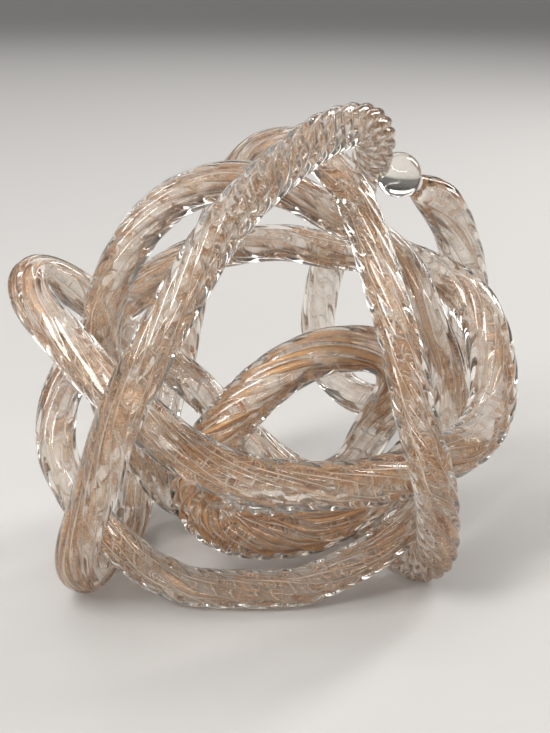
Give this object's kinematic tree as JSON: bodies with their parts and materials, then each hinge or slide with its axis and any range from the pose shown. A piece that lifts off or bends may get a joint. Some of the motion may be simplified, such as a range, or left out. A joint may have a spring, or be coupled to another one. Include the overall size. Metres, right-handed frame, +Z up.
{
  "type": "glass knot sculpture",
  "caption": "Free-standing ornament: a fluted, twisted glass rope with copper flecks, bent into an open knot and closed by a clear bead.",
  "frame": {"origin": "on the surface that the knot stands on, under the middle of its bounding box", "axes": "+Z up; +X to the right and +Y away from the viewer, seen from the side with the low front hoop"},
  "size_m": [0.1732, 0.1492, 0.159],
  "materials": {
    "copper_flecked_glass": "polished, with copper and rose-gold flecks under a clear casing",
    "clear_glass": "polished, clear"
  },
  "bodies": {
    "root": {"inner_base_run": "copper_flecked_glass", "inner_base_fan": "copper_flecked_glass", "inner_arch": "copper_flecked_glass", "inner_hook": "copper_flecked_glass", "inner_tuck": "copper_flecked_glass", "inner_diagonal": "copper_flecked_glass", "left_tip_bend": "copper_flecked_glass", "belt_left": "copper_flecked_glass", "belt_right": "copper_flecked_glass", "right_fan": "copper_flecked_glass", "right_outer_arc": "copper_flecked_glass", "back_rail_right": "copper_flecked_glass", "back_rail_left": "copper_flecked_glass", "left_flank": "copper_flecked_glass", "base_hoop_left": "copper_flecked_glass", "base_hoop_right": "copper_flecked_glass", "right_inner_arc": "copper_flecked_glass", "crossover": "copper_flecked_glass", "left_shoulder": "copper_flecked_glass", "left_drop": "copper_flecked_glass", "rear_base_run": "copper_flecked_glass", "right_foot": "copper_flecked_glass", "right_leg": "copper_flecked_glass", "top_arc": "copper_flecked_glass", "back_brace": "copper_flecked_glass", "left_foot": "copper_flecked_glass", "front_brace": "copper_flecked_glass", "crown_bend": "copper_flecked_glass", "rear_hoop": "copper_flecked_glass", "rear_hoop_foot": "copper_flecked_glass", "tail": "copper_flecked_glass", "bead": "clear_glass"}
  },
  "joints": []
}
